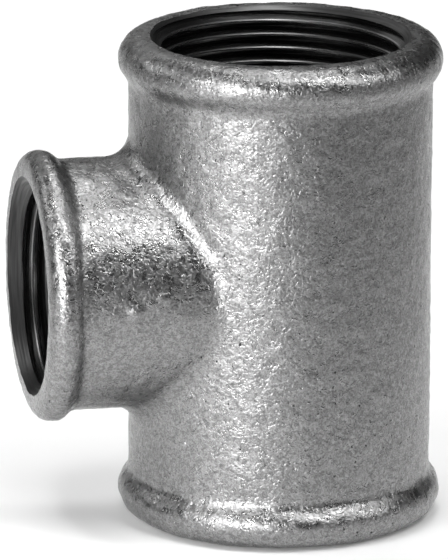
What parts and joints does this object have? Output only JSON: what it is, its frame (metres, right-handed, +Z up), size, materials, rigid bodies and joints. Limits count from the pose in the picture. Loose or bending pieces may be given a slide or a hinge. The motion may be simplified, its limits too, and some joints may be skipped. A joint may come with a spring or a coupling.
{
  "type": "reducing tee",
  "caption": "Cast reducing pipe tee: a straight run with beaded, internally threaded ends and a smaller threaded branch at right angles, blended into the run by a saddle fillet.",
  "frame": {"origin": "centre of the lower end face of the run", "axes": "+Z up along the run's axis, -X along the branch's axis, out of its mouth"},
  "size_m": [0.0685, 0.053, 0.08],
  "materials": {
    "zinc_casting": "hot-dip galvanised casting with a fine rough grain, and dark oiled threads in the sockets"
  },
  "bodies": {
    "root": {"tee_body": "zinc_casting"}
  },
  "joints": []
}
